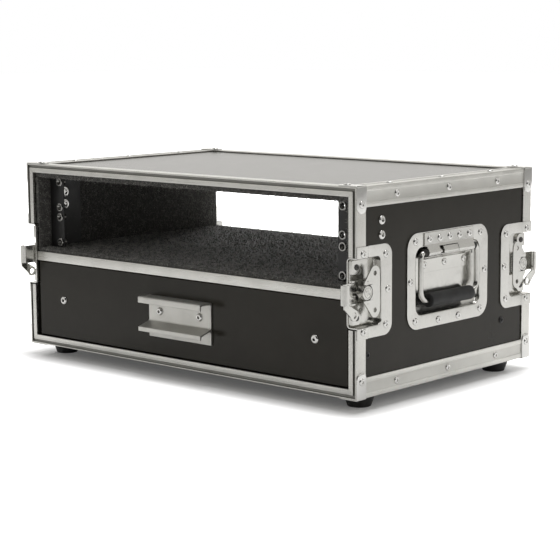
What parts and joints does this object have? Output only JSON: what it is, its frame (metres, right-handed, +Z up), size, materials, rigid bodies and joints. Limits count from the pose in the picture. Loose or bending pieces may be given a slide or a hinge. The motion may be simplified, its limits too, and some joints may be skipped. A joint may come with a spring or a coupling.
{
  "type": "road case with drawer",
  "caption": "Short rack road case: open rack bay over a sliding drawer, aluminium edges, recessed butterfly latches and sprung handles, rubber feet.",
  "frame": {"origin": "on the floor, under the middle of the case, feet included", "axes": "+X to the case's right seen from the front, +Y to the rear, +Z up; the drawer opens towards -Y"},
  "size_m": [0.5554, 0.364, 0.2466],
  "materials": {
    "laminate": "black laminated plywood, satin",
    "plywood": "bare birch plywood",
    "aluminium": "satin anodised extrusion",
    "carpet": "dark grey needle felt lining",
    "black_steel": "black powder coat",
    "zinc_steel": "zinc plated",
    "plated_steel": "satin plated pressed steel",
    "rubber": "matte black rubber"
  },
  "bodies": {
    "case": {"top_panel": "laminate", "bottom_panel": "laminate", "right_panel": "laminate", "left_panel": "laminate", "shelf_board": "plywood", "shelf_edge_strip": "aluminium", "top_right_angle": "aluminium", "top_left_angle": "aluminium", "bottom_right_angle": "aluminium", "bottom_left_angle": "aluminium", "front_lid_frame_upper": "aluminium", "front_lid_frame_lower": "aluminium", "rear_lid_frame_upper": "aluminium", "rear_lid_frame_lower": "aluminium", "ceiling_lining": "carpet", "right_wall_lining": "carpet", "left_wall_lining": "carpet", "shelf_lining": "carpet", "right_rack_rail": "black_steel", "right_slide_outer": "zinc_steel", "right_handle_dish": "plated_steel", "right_handle_hinge_strap": "plated_steel", "left_rack_rail": "black_steel", "left_slide_outer": "zinc_steel", "left_handle_dish": "plated_steel", "left_handle_hinge_strap": "plated_steel", "front_right_foot": "rubber", "front_right_latch_dish": "plated_steel", "front_left_foot": "rubber", "front_left_latch_dish": "plated_steel", "rear_right_foot": "rubber", "rear_right_latch_dish": "plated_steel", "rear_left_foot": "rubber", "rear_left_latch_dish": "plated_steel"},
    "drawer": {"drawer_front": "laminate", "drawer_right_side": "plywood", "drawer_left_side": "plywood", "drawer_back": "plywood", "drawer_bottom": "plywood", "drawer_pull": "aluminium", "right_slide_inner": "zinc_steel", "left_slide_inner": "zinc_steel"},
    "right_slide_middle": {"right_slide_middle": "zinc_steel"},
    "left_slide_middle": {"left_slide_middle": "zinc_steel"},
    "right_handle_swing": {"right_handle_bail": "plated_steel", "right_handle_grip": "rubber"},
    "left_handle_swing": {"left_handle_bail": "plated_steel", "left_handle_grip": "rubber"},
    "front_right_latch_hub": {"front_right_latch_hub": "plated_steel"},
    "front_right_latch_butterfly": {"front_right_latch_butterfly": "plated_steel"},
    "front_right_latch_hook": {"front_right_latch_hook": "plated_steel"},
    "front_left_latch_hub": {"front_left_latch_hub": "plated_steel"},
    "front_left_latch_butterfly": {"front_left_latch_butterfly": "plated_steel"},
    "front_left_latch_hook": {"front_left_latch_hook": "plated_steel"},
    "rear_right_latch_hub": {"rear_right_latch_hub": "plated_steel"},
    "rear_right_latch_butterfly": {"rear_right_latch_butterfly": "plated_steel"},
    "rear_right_latch_hook": {"rear_right_latch_hook": "plated_steel"},
    "rear_left_latch_hub": {"rear_left_latch_hub": "plated_steel"},
    "rear_left_latch_butterfly": {"rear_left_latch_butterfly": "plated_steel"},
    "rear_left_latch_hook": {"rear_left_latch_hook": "plated_steel"}
  },
  "joints": [
    {"name": "drawer_slide", "type": "slide", "parent": "case", "child": "drawer", "axis": [0, -1, 0], "range_m": [0, 0.25]},
    {"name": "right_slide_middle_run", "type": "slide", "parent": "case", "child": "right_slide_middle", "axis": [0, -1, 0], "range_m": [0, 0.1251]},
    {"name": "left_slide_middle_run", "type": "slide", "parent": "case", "child": "left_slide_middle", "axis": [0, -1, 0], "range_m": [0, 0.1251]},
    {"name": "right_handle_lift", "type": "hinge", "parent": "case", "child": "right_handle_swing", "pos_m": [0.2695, 0, 0.162], "axis": [0, -1, 0], "range_deg": [0, 90], "stiffness_Nm_per_rad": 0.4, "springref_deg": -11.46},
    {"name": "left_handle_lift", "type": "hinge", "parent": "case", "child": "left_handle_swing", "pos_m": [-0.2695, 0, 0.162], "axis": [0, 1, 0], "range_deg": [0, 90], "stiffness_Nm_per_rad": 0.4, "springref_deg": -11.46},
    {"name": "front_right_latch_twist", "type": "hinge", "parent": "case", "child": "front_right_latch_hub", "pos_m": [0.265, -0.1474, 0.13], "axis": [1, 0, 0], "range_deg": [0, 180]},
    {"name": "front_right_latch_fold", "type": "hinge", "parent": "front_right_latch_hub", "child": "front_right_latch_butterfly", "pos_m": [0.2689, -0.1474, 0.13], "axis": [0, 0, -1], "range_deg": [0, 90]},
    {"name": "front_right_latch_hook_run", "type": "slide", "parent": "case", "child": "front_right_latch_hook", "axis": [0, 1, 0], "range_m": [0, 0.0121]},
    {"name": "front_left_latch_twist", "type": "hinge", "parent": "case", "child": "front_left_latch_hub", "pos_m": [-0.265, -0.1474, 0.13], "axis": [-1, 0, 0], "range_deg": [0, 180]},
    {"name": "front_left_latch_fold", "type": "hinge", "parent": "front_left_latch_hub", "child": "front_left_latch_butterfly", "pos_m": [-0.2689, -0.1474, 0.13], "axis": [0, 0, 1], "range_deg": [0, 90]},
    {"name": "front_left_latch_hook_run", "type": "slide", "parent": "case", "child": "front_left_latch_hook", "axis": [0, 1, 0], "range_m": [0, 0.0121]},
    {"name": "rear_right_latch_twist", "type": "hinge", "parent": "case", "child": "rear_right_latch_hub", "pos_m": [0.265, 0.1474, 0.13], "axis": [1, 0, 0], "range_deg": [0, 180]},
    {"name": "rear_right_latch_fold", "type": "hinge", "parent": "rear_right_latch_hub", "child": "rear_right_latch_butterfly", "pos_m": [0.2689, 0.1474, 0.13], "axis": [0, 0, 1], "range_deg": [0, 90]},
    {"name": "rear_right_latch_hook_run", "type": "slide", "parent": "case", "child": "rear_right_latch_hook", "axis": [0, -1, 0], "range_m": [0, 0.0121]},
    {"name": "rear_left_latch_twist", "type": "hinge", "parent": "case", "child": "rear_left_latch_hub", "pos_m": [-0.265, 0.1474, 0.13], "axis": [-1, 0, 0], "range_deg": [0, 180]},
    {"name": "rear_left_latch_fold", "type": "hinge", "parent": "rear_left_latch_hub", "child": "rear_left_latch_butterfly", "pos_m": [-0.2689, 0.1474, 0.13], "axis": [0, 0, -1], "range_deg": [0, 90]},
    {"name": "rear_left_latch_hook_run", "type": "slide", "parent": "case", "child": "rear_left_latch_hook", "axis": [0, -1, 0], "range_m": [0, 0.0121]}
  ],
  "couplings": [
    {"joint": "right_slide_middle_run", "follows": "drawer_slide", "ratio": 0.5},
    {"joint": "left_slide_middle_run", "follows": "drawer_slide", "ratio": 0.5},
    {"joint": "front_right_latch_hook_run", "follows": "front_right_latch_twist", "m_per_rad": 0.00382},
    {"joint": "front_left_latch_hook_run", "follows": "front_left_latch_twist", "m_per_rad": 0.00382},
    {"joint": "rear_right_latch_hook_run", "follows": "rear_right_latch_twist", "m_per_rad": 0.00382},
    {"joint": "rear_left_latch_hook_run", "follows": "rear_left_latch_twist", "m_per_rad": 0.00382}
  ]
}
